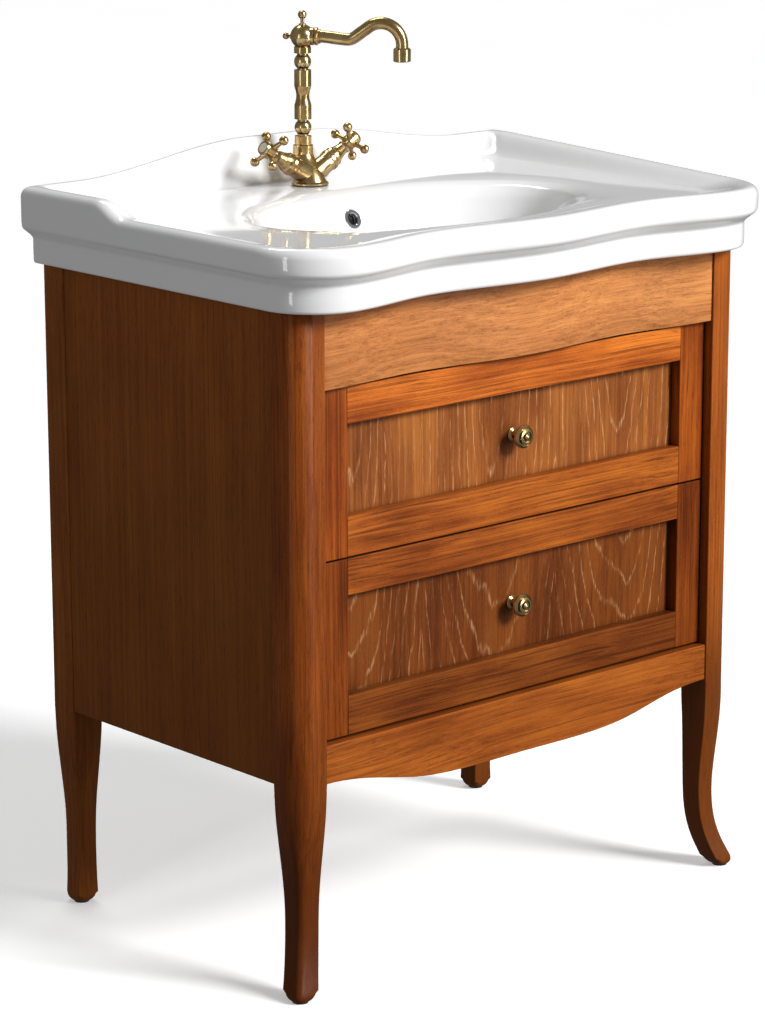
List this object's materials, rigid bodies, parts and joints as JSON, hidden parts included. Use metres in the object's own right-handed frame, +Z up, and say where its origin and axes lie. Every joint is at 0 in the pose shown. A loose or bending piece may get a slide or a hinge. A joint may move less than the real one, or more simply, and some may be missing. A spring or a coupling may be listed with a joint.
{
  "type": "vessel sink on vanity",
  "caption": "Freestanding two-drawer washstand with a glazed inset basin, a raised splashback and a swivelling one-hole mixer tap with cross handles.",
  "frame": {"origin": "on the floor, under the middle of the basin's outline", "axes": "+X to the right, -Y to the front, +Z up; the wall is at the greatest Y"},
  "size_m": [0.75, 0.5, 1.0475],
  "materials": {
    "stained_wood": "satin",
    "fascia_wood": "satin",
    "panel_wood": "satin",
    "inner_wood": "matte",
    "glazed_basin": "gloss",
    "runner_steel": "satin",
    "glide_plastic": "matte",
    "chrome_waste": "polished",
    "black_rubber": "matte",
    "plain_brass": "satin",
    "index_enamel": "gloss",
    "aged_brass": "satin, darkened in the recesses"
  },
  "bodies": {
    "cabinet": {"basin": "glazed_basin", "bottom_board": "inner_wood", "corner_blocks": "inner_wood", "foot_glides": "glide_plastic", "front_apron": "fascia_wood", "front_fascia": "fascia_wood", "front_left_post": "stained_wood", "front_right_post": "stained_wood", "left_bonnet": "aged_brass", "left_side_panel": "stained_wood", "lower_runners_fixed": "runner_steel", "overflow_ring": "chrome_waste", "rear_left_post": "stained_wood", "rear_right_post": "stained_wood", "rear_top_rail": "inner_wood", "right_bonnet": "aged_brass", "right_side_panel": "stained_wood", "runner_battens": "inner_wood", "tap_body": "aged_brass", "tap_column": "aged_brass", "tap_gasket": "black_rubber", "tap_nut": "plain_brass", "trap_cup": "chrome_waste", "trap_head": "chrome_waste", "trap_outlet": "chrome_waste", "upper_runners_fixed": "runner_steel", "waste_body": "chrome_waste", "waste_nut": "chrome_waste"},
    "upper_drawer": {"upper_drawer_stiles": "stained_wood", "upper_drawer_top_rail": "stained_wood", "upper_drawer_bottom_rail": "stained_wood", "upper_drawer_front_panel": "panel_wood", "upper_drawer_sides": "inner_wood", "upper_drawer_back": "inner_wood", "upper_drawer_bottom": "inner_wood", "upper_drawer_knob": "aged_brass", "upper_drawer_knob_screw": "runner_steel", "upper_drawer_liner": "inner_wood", "upper_runners_drawer": "runner_steel"},
    "lower_drawer": {"lower_drawer_stiles": "stained_wood", "lower_drawer_top_rail": "stained_wood", "lower_drawer_bottom_rail": "stained_wood", "lower_drawer_front_panel": "panel_wood", "lower_drawer_sides": "inner_wood", "lower_drawer_back": "inner_wood", "lower_drawer_bottom": "inner_wood", "lower_drawer_knob": "aged_brass", "lower_drawer_knob_screw": "runner_steel", "lower_runners_drawer": "runner_steel"},
    "upper_runner": {"upper_runners_middle": "runner_steel"},
    "lower_runner": {"lower_runners_middle": "runner_steel"},
    "spout": {"spout_head": "aged_brass", "spout": "aged_brass", "spout_nozzle": "aged_brass", "spout_finials": "aged_brass"},
    "left_handle": {"left_handle": "aged_brass", "left_index": "index_enamel"},
    "right_handle": {"right_handle": "aged_brass", "right_index": "index_enamel"},
    "plug": {"waste_plug": "chrome_waste"}
  },
  "joints": [
    {"name": "upper_drawer_slide", "type": "slide", "parent": "cabinet", "child": "upper_drawer", "axis": [0, -1, 0], "range_m": [0, 0.35]},
    {"name": "upper_runner_slide", "type": "slide", "parent": "cabinet", "child": "upper_runner", "axis": [0, -1, 0], "range_m": [0, 0.175]},
    {"name": "lower_drawer_slide", "type": "slide", "parent": "cabinet", "child": "lower_drawer", "axis": [0, -1, 0], "range_m": [0, 0.35]},
    {"name": "lower_runner_slide", "type": "slide", "parent": "cabinet", "child": "lower_runner", "axis": [0, -1, 0], "range_m": [0, 0.175]},
    {"name": "spout_swivel", "type": "hinge", "parent": "cabinet", "child": "spout", "pos_m": [0, 0.19, 0.9968], "axis": [0, 0, 1], "range_deg": [-150, 70]},
    {"name": "left_valve", "type": "hinge", "parent": "cabinet", "child": "left_handle", "pos_m": [0, 0.1775, 0.8501], "axis": [-0.866, 0, 0.5], "range_deg": [0, 90]},
    {"name": "right_valve", "type": "hinge", "parent": "cabinet", "child": "right_handle", "pos_m": [0, 0.1775, 0.8501], "axis": [0.866, 0, 0.5], "range_deg": [-90, 0]},
    {"name": "plug_lift", "type": "slide", "parent": "cabinet", "child": "plug", "axis": [0, 0, 1], "range_m": [0, 0.008]}
  ],
  "couplings": [
    {"joint": "upper_runner_slide", "follows": "upper_drawer_slide", "ratio": 0.5},
    {"joint": "lower_runner_slide", "follows": "lower_drawer_slide", "ratio": 0.5}
  ]
}
